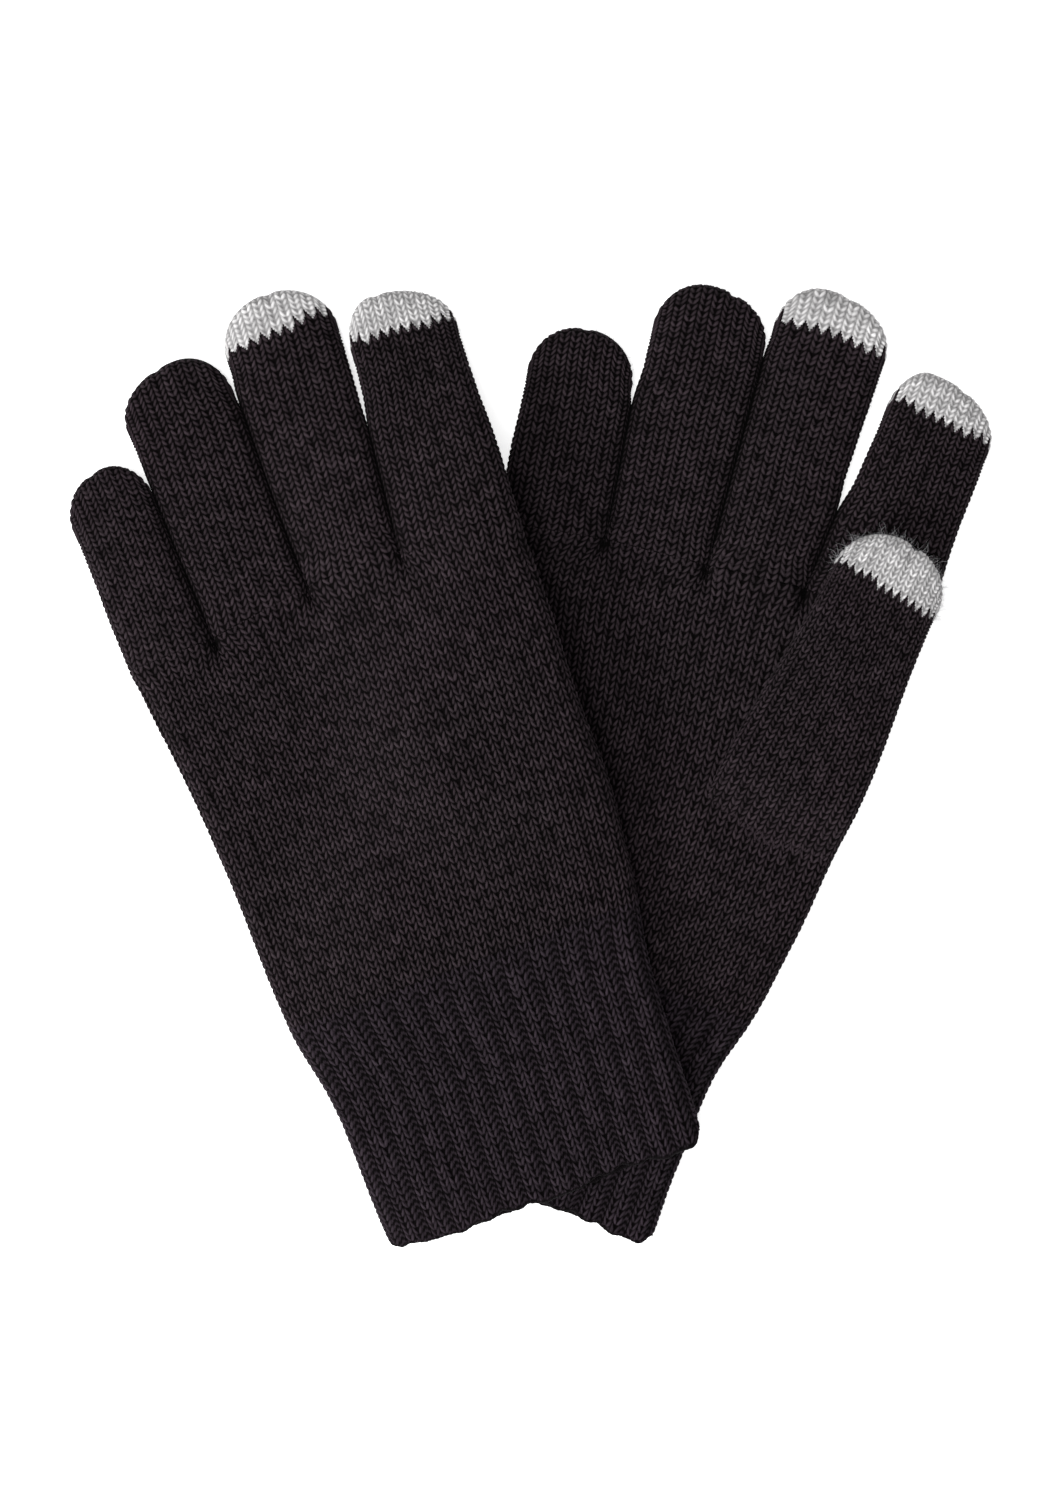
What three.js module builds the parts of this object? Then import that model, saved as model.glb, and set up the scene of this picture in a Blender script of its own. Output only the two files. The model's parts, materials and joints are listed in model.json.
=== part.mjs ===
// A pair of knitted touchscreen gloves in millimetres, +Z up, standing on Z = 0.
// The right glove lies palm up on the table. The left glove lies back up on top of its cuff and palm.
// Each glove is drawn in its own flat frame: u runs across it, from the little finger's side to the
// thumb's side, v runs along it, from the cuff's hem to the fingertips, and w is the height.
import * as THREE from 'three';

// Fabric.
const THICKNESS = 9; // a glove lying relaxed, both layers and the space between them
const WALL = 1.8; // one layer of knit
const GAP = 0.3; // between two sections knitted to each other
const TIP_LENGTH = 10; // the stretch over which a fingertip rounds off
const TIP_POWER = 2.3; // 2 is a round fingertip, and more is a blunter one
const TIP_STEPS = [0, 0.45, 0.75, 0.92, 0.99]; // where a fingertip has a row, as shares of its length
const NOSE_TURNS = [43, 65, 90].map(THREE.MathUtils.degToRad); // the rows of a round hinged end

// Cuff and palm, along v.
const HEM_LENGTH = 6;
const CUFF_LENGTH = 63;
const PALM_END = 150; // where the straight rows end, short of the palm's front edge
const PALM_ROWS = 8;
const CUFF_ROWS = 5;

// Thumbs.
const RIGHT_THUMB_THICKNESS = 8.5;
const LEFT_THUMB_THICKNESS = 6.4; // pressed under its palm
const THUMB_GAP = 0.5; // between the right palm and the thumb lying on it
const PRESSED_GAP = 1.8; // between the left palm and the thumb curving under it

// How the left glove hangs over the right one and over its own thumb.
const STACK_GAP = 0.8; // between the two gloves
const STACK_HEIGHT = THICKNESS + STACK_GAP;
const DROP_START = 3; // from the right glove's edge outwards, still level
const DROP_END = 38; // from the right glove's edge outwards, down on the table
const THUMB_SPREAD = 30; // from the pressed thumb outwards, where the palm is down again

// Each glove: its hem's middle and its tilt in plan (clockwise), its two edges as [v, u] points, and its
// fingers. A finger has its root's middle, its lean in the glove (clockwise), its length, its width at
// the root and near the tip, and the length of its conductive cap. The hinge gap lies behind the round
// end of a section that folds, and is wider on the left glove, whose fingers lie tilted at rest.
const RIGHT = {
  name: 'right',
  hem: [-7.5, -108.6],
  tilt: 21.5,
  hingeGap: 1,
  littleSide: [[0, -43], [36, -42], [50, -43], [66, -47.5], [96, -49.5], [123, -51], [145, -56.5],
    [160, -64], [192, -71]],
  thumbSide: [[0, 43], [36, 41.5], [50, 42.5], [66, 46.8], [96, 49.3], [123, 50.2], [145, 50.5]],
  fingers: [
    { name: 'little', root: [-50.2, 162.4], lean: -11, length: 54.5, widths: [28.4, 27.5], cap: 0 },
    { name: 'ring', root: [-22.4, 167.6], lean: -7, length: 69, widths: [26.6, 26.4], cap: 0 },
    { name: 'middle', root: [4.3, 171.2], lean: -4, length: 76, widths: [25.2, 25], cap: 10.5 },
    { name: 'index', root: [34, 171], lean: 0.5, length: 65.5, widths: [31.5, 27.5], cap: 9 },
  ],
};
const LEFT = {
  name: 'left',
  hem: [4.6, -110.5],
  tilt: -20.5,
  hingeGap: 4.8,
  littleSide: [[0, -43.4], [38, -44.3], [50, -46.3], [57, -48.6], [68, -49.4], [96, -50], [124, -50.4],
    [153, -52.5]],
  thumbSide: [[0, 42.8], [38, 45.5], [50, 46], [57, 47.5], [68, 50], [96, 52], [124, 52], [153, 53.5]],
  fingers: [
    { name: 'little', root: [-43.4, 165], lean: -2.5, length: 52, widths: [22.6, 21.5], cap: 0 },
    { name: 'ring', root: [-17.8, 167], lean: -0.8, length: 69, widths: [26.8, 26.4], cap: 0 },
    { name: 'middle', root: [9.3, 169.2], lean: 3.2, length: 74.5, widths: [25.4, 25.2], cap: 10.5 },
    { name: 'index', root: [38.6, 168.6], lean: 4.5, length: 66, widths: [31, 26.8], cap: 11 },
  ],
};
const THUMB = { name: 'thumb', root: [31.6, 121], lean: 3.7, length: 74, widths: [37, 29.5], cap: 13 };
const MIDDLE_JOINT = 0.49; // where a finger's middle joint is, as a share of its length

const DARK_KNIT = { color: 0x262023, roughness: 0.95, metalness: 0 };
const RIB_KNIT = { color: 0x221e24, roughness: 0.95, metalness: 0 };
const CONDUCTIVE_KNIT = { color: 0xc3c3c6, roughness: 0.8, metalness: 0 };

// A share of 0 to 1 of the way, smoothed so that it is level at both ends.
const ease = (share) => THREE.MathUtils.smoothstep(share, 0, 1);

// The value of a table of [position, value] points at a position between them.
function lookUp(table, position) {
  const next = table.findIndex(([at]) => at >= position);
  if (next === 0) return table[0][1];
  if (next < 0) return table[table.length - 1][1];
  const [from, to] = [table[next - 1], table[next]];
  return THREE.MathUtils.mapLinear(position, from[0], to[0], from[1], to[1]);
}

// A point along a finger, and sideways from its middle line towards the thumb.
function fingerPoint(finger, along, sideways = 0) {
  const lean = THREE.MathUtils.degToRad(finger.lean);
  return new THREE.Vector2(
    finger.root[0] + along * Math.sin(lean) + sideways * Math.cos(lean),
    finger.root[1] + along * Math.cos(lean) - sideways * Math.sin(lean),
  );
}

// The share of its full width that a finger has, so far along it.
function tipShare(along, length) {
  const into = THREE.MathUtils.clamp((along - length + TIP_LENGTH) / TIP_LENGTH, 0, 1);
  return (1 - into ** TIP_POWER) ** (1 / TIP_POWER);
}

function fingerWidth(finger, along, length = finger.length) {
  const full = THREE.MathUtils.lerp(...finger.widths, ease(along / (length - TIP_LENGTH)));
  return full * tipShare(along, length);
}

// A row is one cross-section: a line across the glove, the height of its middle, half its thickness,
// and the shares of its flat width where its points are.
const fingerShares = [0, 0.5, 1];

function fingerRow(finger, along, width, middle, half) {
  const line = [fingerPoint(finger, along, -width / 2), fingerPoint(finger, along, width / 2)];
  return { line, middle, half, shares: fingerShares };
}

// The point at a distance along a bent line of Vector2 points.
function pointOnLine(line, distance) {
  let left = distance;
  for (let i = 1; i < line.length; i += 1) {
    const step = line[i - 1].distanceTo(line[i]);
    if (left <= step || i === line.length - 1) return line[i - 1].clone().lerp(line[i], left / step);
    left -= step;
  }
  return line[0];
}

function lineLength(line) {
  return line.slice(1).reduce((sum, point, i) => sum + point.distanceTo(line[i]), 0);
}

// The points round a row: over the top towards the thumb, round the fold, back below, and round again.
const FOLD_ANGLES = [Math.PI / 4, Math.PI / 2, (3 * Math.PI) / 4];

function ringOf(row, lift) {
  const width = lineLength(row.line);
  const flat = width - 2 * row.half;
  const points = [];
  const add = (across, height) => {
    const { x, y } = pointOnLine(row.line, across);
    points.push(new THREE.Vector3(x, y, row.middle + height + lift(x, y)));
  };
  row.shares.forEach((share) => add(row.half + share * flat, row.half));
  FOLD_ANGLES.forEach((turn) => {
    add(width - row.half + row.half * Math.sin(turn), row.half * Math.cos(turn));
  });
  [...row.shares].reverse().forEach((share) => add(row.half + share * flat, -row.half));
  FOLD_ANGLES.forEach((turn) => add(row.half - row.half * Math.sin(turn), -row.half * Math.cos(turn)));
  return points;
}

// A flattened tube with a wall: outer and inner rows from the wrist towards the fingertip, open at its
// first end, and at its last end either open or closed.
function tubeGeometry(outerRows, innerRows, closed, lift) {
  const outer = outerRows.map((row) => ringOf(row, lift));
  const inner = innerRows.map((row) => ringOf(row, lift));
  const count = outer[0].length;
  const positions = [...outer.flat(), ...inner.flat()];
  const innerStart = outer.length * count;
  const faces = [];
  const quad = (a, b, c, d) => faces.push(a, b, c, a, c, d);
  const eachSide = (visit) => {
    for (let i = 0; i < count; i += 1) visit(i, (i + 1) % count);
  };
  const skin = (rings, start, turnedIn) => {
    for (let r = 0; r + 1 < rings; r += 1) {
      const [near, far] = [start + r * count, start + (r + 1) * count];
      eachSide((i, j) => {
        if (turnedIn) quad(near + j, near + i, far + i, far + j);
        else quad(near + i, near + j, far + j, far + i);
      });
    }
  };
  skin(outer.length, 0, false);
  skin(inner.length, innerStart, true);
  eachSide((i, j) => quad(i, innerStart + i, innerStart + j, j));
  const outerEnd = (outer.length - 1) * count;
  const innerEnd = innerStart + (inner.length - 1) * count;
  if (closed) {
    const middleOf = (ring) => ring.reduce((sum, p) => sum.add(p), new THREE.Vector3())
      .divideScalar(count);
    const outerTip = positions.push(middleOf(outer[outer.length - 1])) - 1;
    const innerTip = positions.push(middleOf(inner[inner.length - 1])) - 1;
    eachSide((i, j) => faces.push(outerEnd + i, outerEnd + j, outerTip));
    eachSide((i, j) => faces.push(innerEnd + j, innerEnd + i, innerTip));
  } else {
    eachSide((i, j) => quad(outerEnd + i, outerEnd + j, innerEnd + j, innerEnd + i));
  }
  const geometry = new THREE.BufferGeometry().setFromPoints(positions);
  geometry.setIndex(faces);
  geometry.computeVertexNormals();
  return geometry;
}

function sectionMesh(name, geometry, finish) {
  const mesh = new THREE.Mesh(geometry, new THREE.MeshStandardMaterial(finish));
  mesh.name = name;
  return mesh;
}

// One section of a finger, from one place along it to another. A hinged section starts with a round
// end about its hinge line. A closed one ends in the fingertip.

function fingerSection(finger, from, to, thickness, bottom, { hinged, closed }, lift) {
  const half = thickness / 2;
  const wall = WALL * (thickness / THICKNESS);
  const middle = bottom + half;
  const outerAt = (along, halfHere = half) => (
    fingerRow(finger, along, fingerWidth(finger, along), middle, halfHere));
  const innerLength = finger.length - wall;
  const innerAt = (along, halfHere = half - wall) => fingerRow(
    finger, along, fingerWidth(finger, along, innerLength) - 2 * wall, middle, halfHere);
  const outerRows = [];
  const innerRows = [];
  let start = from;
  if (hinged) {
    start = from - half * Math.cos(NOSE_TURNS[0]);
    NOSE_TURNS.forEach((turn) => {
      outerRows.push(outerAt(from - half * Math.cos(turn), half * Math.sin(turn)));
    });
  } else {
    outerRows.push(outerAt(from));
  }
  innerRows.push(innerAt(start));
  const straightEnd = closed ? finger.length - TIP_LENGTH : to;
  if (straightEnd - from > TIP_LENGTH) {
    outerRows.push(outerAt((from + straightEnd) / 2));
    innerRows.push(innerAt((from + straightEnd) / 2));
  }
  if (closed) {
    const steps = straightEnd - from > 1 ? TIP_STEPS : TIP_STEPS.slice(1);
    steps.forEach((step) => {
      const thinner = tipShare(finger.length - TIP_LENGTH * (1 - step ** 2), finger.length);
      outerRows.push(outerAt(finger.length - TIP_LENGTH * (1 - step), half * thinner));
      innerRows.push(innerAt(innerLength - TIP_LENGTH * (1 - step), (half - wall) * thinner));
    });
  } else {
    outerRows.push(outerAt(to));
    innerRows.push(innerAt(to));
  }
  return tubeGeometry(outerRows, innerRows, closed, lift);
}

// Where a finger's section folds: a point on the level hinge line and its direction, in the glove.
function hingeOf(finger, along, middle, lift) {
  const { x, y } = fingerPoint(finger, along);
  const across = fingerPoint(finger, along, 1).sub(fingerPoint(finger, along));
  const point = new THREE.Vector3(x, y, middle + lift(x, y));
  return { point, axis: new THREE.Vector3(across.x, across.y, 0) };
}

// A finger or thumb: its sections from the root out, split at the given joints and before its cap.
function addFinger(glove, group, finger, joints, thickness, bottom, lift) {
  const word = finger.name === 'thumb' ? 'thumb' : `${finger.name}_finger`;
  const capStart = finger.length - finger.cap;
  const names = joints.length > 1 ? ['_base', '_end'] : [''];
  joints.forEach((joint, i) => {
    const last = i === joints.length - 1;
    const closed = last && finger.cap === 0;
    const end = last ? capStart - GAP / 2 : joints[i + 1] - thickness / 2 - glove.hingeGap;
    const geometry = fingerSection(
      finger, joint, end, thickness, bottom, { hinged: true, closed }, lift);
    const mesh = sectionMesh(`${glove.name}_${word}${names[i]}`, geometry, DARK_KNIT);
    mesh.userData.hinge = hingeOf(finger, joint, bottom + thickness / 2, lift);
    group.add(mesh);
  });
  if (finger.cap > 0) {
    const geometry = fingerSection(finger, capStart + GAP / 2, finger.length, thickness, bottom,
      { hinged: false, closed: true }, lift);
    group.add(sectionMesh(`${glove.name}_${word}_tip`, geometry, CONDUCTIVE_KNIT));
  }
}

// The palm's front edge: one straight stretch behind each finger's hinge line, met half way between.
function palmFront(glove) {
  const back = -THICKNESS / 2 - glove.hingeGap;
  const corners = glove.fingers.map((finger) => (
    [-1, 1].map((side) => fingerPoint(finger, back, (side * finger.widths[0]) / 2))));
  const line = [corners[0][0]];
  corners.forEach(([, thumbCorner], i) => {
    const next = corners[i + 1];
    line.push(next ? thumbCorner.lerp(next[0], 0.5) : thumbCorner);
  });
  return line;
}

// Shares of the flat width at the front line's corners and half way between them.
function sharesOf(line) {
  const half = THICKNESS / 2;
  const flat = lineLength(line) - THICKNESS;
  const corners = line.map((_, i) => (lineLength(line.slice(0, i + 1)) - half) / flat);
  corners[0] = 0;
  corners[corners.length - 1] = 1;
  return corners.flatMap((share, i) => (i === 0 ? [share] : [(corners[i - 1] + share) / 2, share]));
}

// A row straight across the hand at v, with its inner row's line drawn in by the wall.
function handRow(glove, v, inset, shares) {
  const line = [
    new THREE.Vector2(lookUp(glove.littleSide, v) + inset, v),
    new THREE.Vector2(lookUp(glove.thumbSide, v) - inset, v),
  ];
  return { line, middle: THICKNESS / 2, half: THICKNESS / 2 - inset, shares };
}

function insetLine(line, inset) {
  const length = lineLength(line);
  return [pointOnLine(line, inset), ...line.slice(1, -1), pointOnLine(line, length - inset)];
}

function handSection(glove, from, to, rows, shares, lift, front) {
  const rowsAt = (inset) => {
    const list = [];
    for (let i = 0; i < rows; i += 1) {
      list.push(handRow(glove, THREE.MathUtils.lerp(from, to, i / (rows - 1)), inset, shares));
    }
    if (front) {
      list.push({ ...list[0], line: insetLine(front, inset) });
    }
    return list;
  };
  return tubeGeometry(rowsAt(0), rowsAt(WALL), false, lift);
}

function addHand(glove, group, lift) {
  const front = palmFront(glove);
  const shares = sharesOf(front);
  const cuffStart = HEM_LENGTH + GAP;
  const palmStart = CUFF_LENGTH + GAP;
  const hem = handSection(glove, 0, HEM_LENGTH, 2, shares, lift);
  const cuff = handSection(glove, cuffStart, CUFF_LENGTH, CUFF_ROWS, shares, lift);
  const palm = handSection(glove, palmStart, PALM_END, PALM_ROWS, shares, lift, front);
  group.add(sectionMesh(`${glove.name}_cuff_hem`, hem, RIB_KNIT));
  group.add(sectionMesh(`${glove.name}_cuff`, cuff, RIB_KNIT));
  group.add(sectionMesh(`${glove.name}_palm`, palm, DARK_KNIT));
}

function addFingers(glove, group, lift) {
  glove.fingers.forEach((finger) => {
    const joints = [0, finger.length * MIDDLE_JOINT];
    addFinger(glove, group, finger, joints, THICKNESS, 0, lift);
  });
}

// A glove's group, placed and turned on the table.
function gloveGroup(glove) {
  const group = new THREE.Group();
  group.position.set(glove.hem[0], glove.hem[1], 0);
  group.rotation.z = THREE.MathUtils.degToRad(-glove.tilt);
  return group;
}

// The height that the right glove under it holds the left glove at, level over the right glove and
// falling to the table outside its little finger's edge and its hem.
const leftOrigin = new THREE.Vector2(...LEFT.hem);
const rightOrigin = new THREE.Vector2(...RIGHT.hem);
const centre = new THREE.Vector2();

function carriedHeight(u, v) {
  const point = new THREE.Vector2(u, v).rotateAround(centre, THREE.MathUtils.degToRad(-LEFT.tilt))
    .add(leftOrigin).sub(rightOrigin)
    .rotateAround(centre, THREE.MathUtils.degToRad(RIGHT.tilt));
  const outsideEdge = lookUp(RIGHT.littleSide, point.y) - point.x;
  const outsideHem = -point.y;
  const down = (outside) => ease((outside - DROP_START) / (DROP_END - DROP_START));
  return STACK_HEIGHT * (1 - down(outsideEdge)) * (1 - down(outsideHem));
}

// The extra height that the left glove has over its own pressed thumb.
function thumbRise(u, v) {
  const start = fingerPoint(THUMB, 0);
  const end = fingerPoint(THUMB, THUMB.length - THUMB.widths[1] / 2);
  const line = new THREE.Line3(new THREE.Vector3(start.x, start.y), new THREE.Vector3(end.x, end.y));
  const point = new THREE.Vector3(u, v, 0);
  const nearest = line.closestPointToPoint(point, true, new THREE.Vector3());
  const outside = point.distanceTo(nearest) - THUMB.widths[0] / 2;
  return (LEFT_THUMB_THICKNESS + PRESSED_GAP) * (1 - ease(outside / THUMB_SPREAD));
}

function rightGlove() {
  const group = gloveGroup(RIGHT);
  const level = () => 0;
  addHand(RIGHT, group, level);
  addFingers(RIGHT, group, level);
  addFinger(RIGHT, group, THUMB, [0], RIGHT_THUMB_THICKNESS, THICKNESS + THUMB_GAP, level);
  return group;
}

function leftGlove() {
  const group = gloveGroup(LEFT);
  const lift = (u, v) => carriedHeight(u, v) + thumbRise(u, v);
  addHand(LEFT, group, lift);
  addFingers(LEFT, group, lift);
  addFinger(LEFT, group, THUMB, [0], LEFT_THUMB_THICKNESS, 0, carriedHeight);
  return group;
}

// The pair, with its origin at the middle of its outline on the table.
const gloves = new THREE.Group();
gloves.add(rightGlove(), leftGlove());
const outline = new THREE.Box3().setFromObject(gloves, true);
const middle = outline.getCenter(new THREE.Vector3());
gloves.position.set(-middle.x, -middle.y, -outline.min.z);

export default gloves;
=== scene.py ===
import json
import math

import bpy
import numpy as np
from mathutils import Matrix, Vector


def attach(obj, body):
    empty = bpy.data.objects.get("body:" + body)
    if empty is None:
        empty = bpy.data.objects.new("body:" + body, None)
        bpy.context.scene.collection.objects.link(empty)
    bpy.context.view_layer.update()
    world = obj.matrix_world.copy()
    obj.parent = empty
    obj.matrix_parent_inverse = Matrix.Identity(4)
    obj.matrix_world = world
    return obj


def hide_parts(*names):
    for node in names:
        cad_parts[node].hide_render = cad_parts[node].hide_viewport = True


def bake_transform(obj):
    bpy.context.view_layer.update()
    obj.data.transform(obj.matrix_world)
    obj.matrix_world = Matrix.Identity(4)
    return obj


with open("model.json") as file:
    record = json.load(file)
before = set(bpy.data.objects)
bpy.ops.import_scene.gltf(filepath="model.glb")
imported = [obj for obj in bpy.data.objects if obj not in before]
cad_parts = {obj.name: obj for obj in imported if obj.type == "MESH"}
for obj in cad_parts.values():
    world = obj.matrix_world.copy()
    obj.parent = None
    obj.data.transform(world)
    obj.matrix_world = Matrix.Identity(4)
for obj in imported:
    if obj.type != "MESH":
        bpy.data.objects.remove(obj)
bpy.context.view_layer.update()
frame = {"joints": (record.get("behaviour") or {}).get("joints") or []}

# A pair of knitted touchscreen gloves lying flat: the left one, back up, over the right one, palm up.
# Lengths are in millimetres until a mesh is made. A glove's own frame has u across it towards the
# thumb, v along it from the hem to the fingertips, and w as height. Every stitch is a V of yarn in the
# mesh: wales are the columns of stitches along the glove, and courses are the rows across it.
MM = 0.001

# The camera, straight above the pair, in metres. Its sensor is in millimetres.
CAMERA_HEIGHT = 1.2
VIEW_HEIGHT = 0.3927  # how much of the table it sees from top to bottom
VIEW_CENTRE = (0.00014, 0.0044)
SENSOR = 36

# Fabric.
MIDDLE = 4.9  # the height of the middle of a hand or finger over what it lies on
HALF = 4.1  # half its thickness, without the stitches
RELIEF = 0.72  # how far a stitch stands out
SINK = 0.3  # how far the ground between the stitches lies under the drawn surface
CROWN = 0.14  # how far a hand's height falls from its middle to its folds, as a share
FINGER_CROWN = 0.3  # the same of a finger
FINE = (8, 5)  # mesh columns in a wale and mesh rows in a course, where the fabric shows
COARSE = (4, 3)  # the same where it is hidden
WAVES = 5  # the gentle waves of the cloth: how many, how long and how high
WAVE_LENGTHS = (22, 60)
WAVE_HEIGHT = 0.11

# Stitches, in courses along the glove and wales across it.
LEG_SLOPE = 3.1  # courses that a stitch's leg climbs in a whole wale
LEG_START = 0.07  # wales from the middle of the wale, at the point of the V
LEG_LENGTH = 1.45  # courses
LEG_RADIUS = 0.52  # the yarn's radius in mm
LEG_THIN = 0.7  # how thick a leg is at its ends, as a share
LEG_TILT = 0.9  # the distance square to a leaning leg, as a share of that across the wale
LEG_DROOP = 0.15  # how much lower a leg ends than it starts
LEG_UNEVEN = (0.03, 0.03, 0.03)  # how far stitches stray: courses, wales and height
TONE_UNEVEN = 0.12
WALE_WIDTH = 2.5  # of the hand, in mm
WALE_EDGE = (0.36, 0.5)  # from the middle of a wale, where the groove beside it starts and is deepest
WALE_GROOVE = 0.6  # how deep it is, as a share of the stitch's height
CHANCE_TABLE = (128, 160)  # wales and courses after which the unevenness repeats
COURSE_SHIFT = 20  # keeps the courses deep in the mouth above zero in that table
LEG_SHIFT = 40  # keeps the places of all legs above zero
PURL_BEND = 0.25  # courses by which a purl row waves
PURL_HEIGHT = (0.3, 0.5)  # the lowest height of the purl rows, and their rise

# The hand.
HALF_WALES = 40  # the wales of its upper side
CUFF_COURSES = 34
PALM_COURSES = 58
CUFF_LENGTH = 63
RIB = 3  # the wales of one rib: two of plain knitting and one of purl
RIB_FADE = (54, 66)  # the stretch over which the ribbing dies out
RIB_RISE = (-0.24, 0.22)  # its height at a purl wale and between two of them
RIB_SHADE = 0.35  # how much lighter the yarn is painted for each millimetre of that: painted light on the ribs, painted shade between them
RIB_SHARES = (0.37, 0.37, 0.26)  # of a rib's width, for each of its wales
MOUTH_DEPTH = 34  # how far the skin runs on inside the cuff
MOUTH_COURSES = 18
MOUTH_HALF_WIDTH = 45
MOUTH_GAP = 0.15  # from the middle, where the skin inside ends
# painted shade inside the mouth: the share of the yarn's light that is left there
MOUTH_SHADE = 0.6
LIP_RADIUS = 0.75
LIP_ROWS = 8
HEM_FADE = 12  # the stretch over which the shape of the hem dies out
HEM_RIB = 1.3  # how far the hem reaches out for each millimetre of the ribbing's rise
CORNER = 2.6  # how far the hem's corners round back
CORNER_WALES = 2.2
FRONT_BLEND = 9  # the stretch over which the palm takes up the shape of the finger roots
EDGE_SMOOTHING = 6  # each way along the outline
EDGE_STEPS = 9
SHADED_DIMPLE = (1.8, 3.2)  # the dimple where two fingers meet the palm, with painted shade and flattened stitches: half its width and its length
HAND_SEEDS = {"right": (11, 21), "left": (12, 22)}  # of a hand's stitches and of its waves

# Fuzz.
FIBRE_WIDTH = 0.045  # half a fibre's width at its root
FIBRE_LENGTHS = (0.4, 1)  # shares of the longest, before the power makes short ones commoner
FIBRE_POWER = 1.5
FIBRE_TAPER = 0.7  # how much of that is gone at its end
FIBRE_STEPS = 8
FIBRE_CURL = 0.16  # of its length, how far a fibre curls to each side
FIBRE_TURNS = (2, 6)  # radians that it curls through, least and most
FIBRE_RISE = 0.6  # how much of its heading is straight off the skin, and how much is any way
FIBRE_SWAY = 0.7
FIBRE_ROOT = 0.2  # how deep its root is in the skin
FIBRE_FLOOR = 0.2  # the least height over the table
EDGE_WALES = 1.5  # from a glove's folded edge, where its fuzz shows
EDGE_FUZZ = 0.022  # fibres for each vertex there
TIP_FUZZ = 0.04
THUMB_FUZZ = 0.1
EDGE_REACH = 1.6  # the length of the longest fibres there
TIP_REACH = 1.8
THUMB_REACH = 4.2
FUZZY_END = 9  # the last stretch of a finger's skin, which is fuzzy all round

# Fingers.
FINGER_SEEDS = {"right": 31, "left": 131}  # of the little finger's stitches and waves
SEED_STEP = 7  # from one finger to the next
FINGER_COURSE = 1.6
TIP_LENGTH = 13  # the stretch over which the outline rounds off
TIP_POWER = 2.1  # 2 is a round tip, and more is a blunter one
TIP_ROUND = 3.6  # the radius of the tip seen from the side
PULL_LENGTH = 1.9 * TIP_LENGTH  # the stretch over which stitches bend to the shape of the tip
PULL_POWER = 1.6
END_FADE = 2.2  # the last stretch, over which the stitches flatten out
TUCK = 2.4  # how far a finger's skin runs back under the palm's
TUCK_DEPTH = 0.7
ROOT_FADE = 14  # the stretch over which a finger leaves the shape of its root
ROOT_EVEN = 8  # the stretch over which its wales spread evenly
TOUCH_FADE = 12
TOUCH_PRESS = 0.12  # how far touching fingers press into each other
TOUCH_START = 4  # the stretch from the root over which they start to
TOUCH_WALES = 0.9  # the width of the strip where they touch
TOUCH_SHADE = 0.8  # how much painted shade darkens the yarn there, and in the dimples
CREASE_START = -3  # where the painted shade of the crease between two fingers starts, from the root
DENT_WIDTH = 1.3  # half the width of the dent at a tip, and how far it runs down the finger
DENT_LENGTH = 5
MIDDLE_JOINT = 0.49  # where a finger's middle joint is, as a share of its length
BEND = 8  # each way from a middle joint
ROOT_BEND = 0.8  # a share of a base section, where a place on its middle line is worked out

# The left glove's height over the right glove and over its own thumb, as in the CAD model.
STACK_HEIGHT = 9.8
DROP = (3, 38)  # from the right glove's edge outwards, where the left one starts to drop and is down
THUMB_SPREAD = 30
THUMB_RISE = 8.2

# Thumbs.
THUMB_SEEDS = {"right": 81, "left": 181}
THUMB_BACK = 14  # the stretch of palm over which the right thumb grows out of it
THUMB_OUT = 4  # how far past its root it is whole
THUMB_MIDDLE = {"right": 14.3, "left": 3.6}  # height over what the thumb lies on
THUMB_HALF = {"right": 3.8, "left": 2.5}
THUMB_BEND = (-2, 14)  # a stretch from the thumb's root, at whose ends places on its middle line are worked out
PALM_FACE = MIDDLE + 0.96 * HALF  # the height of the palm's upper face beside the right thumb
THUMB_SUNK = 0.6  # how far under that face the thumb's top starts
THUMB_SIDE_SUNK = 2.5  # how much further its sides do
THUMB_UNDER_SUNK = 1.6  # how far under that face its underside starts


def finger_shape(root, lean, length, widths, wales, cap=0, slant=0, apex=0, pinch=0, dent=0.45):
    """The middle of a finger's root, its lean (clockwise), length, widths at the root and near the tip,
    and wales all round. The length of its conductive cap, and how much longer that is towards the
    thumb's side. How far off the middle are the tip's highest point and the dent where its last stitches
    are drawn together, both as shares of half the width, and that dent's depth."""
    return {"root": root, "lean": lean, "length": length, "widths": widths, "wales": wales,
            "cap": cap, "slant": slant, "apex": apex, "pinch": pinch, "dent": dent}


THUMB = finger_shape((31.6, 121), 4.3, 72.8, (36.6, 29.2), 30, cap=13.6, slant=1.6, apex=-0.1,
                     pinch=0.15, dent=1.1)

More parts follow.
